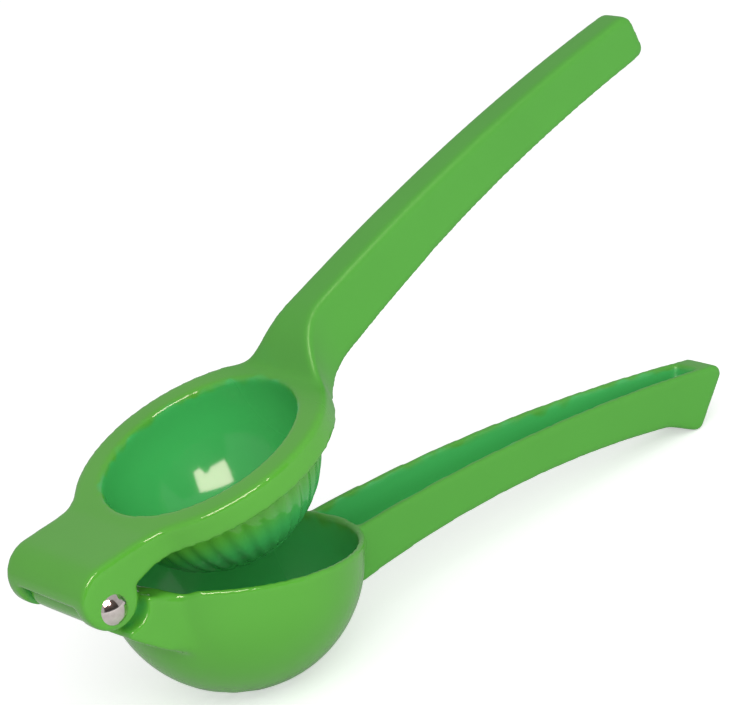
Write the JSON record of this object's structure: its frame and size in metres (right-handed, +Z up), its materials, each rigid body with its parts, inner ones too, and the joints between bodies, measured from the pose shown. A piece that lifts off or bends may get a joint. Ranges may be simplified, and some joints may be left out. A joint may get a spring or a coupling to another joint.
{
  "type": "hinged lemon squeezer",
  "caption": "Lever citrus squeezer: a fluted dome on the upper arm presses a fruit half into a drained bowl on the lower arm, joined by a hinge pin.",
  "frame": {"origin": "centre of the bounding box in plan, at the level of the surface that the bowl and the tip of the lower handle rest on", "axes": "+X from the hinge to the handles, +Y along the hinge pin from its domed head to its cap, +Z up"},
  "size_m": [0.2276, 0.0738, 0.1254],
  "materials": {
    "green_enamel": "gloss",
    "polished_steel": "polished"
  },
  "bodies": {
    "bowl_arm": {"bowl_arm": "green_enamel"},
    "press_arm": {"press_arm": "green_enamel", "hinge_pin": "polished_steel", "pin_cap": "polished_steel"}
  },
  "joints": [
    {"name": "press_hinge", "type": "hinge", "parent": "bowl_arm", "child": "press_arm", "pos_m": [-0.1055, 0, 0.04922], "axis": [0, -1, 0], "range_deg": [-24, 95]}
  ]
}
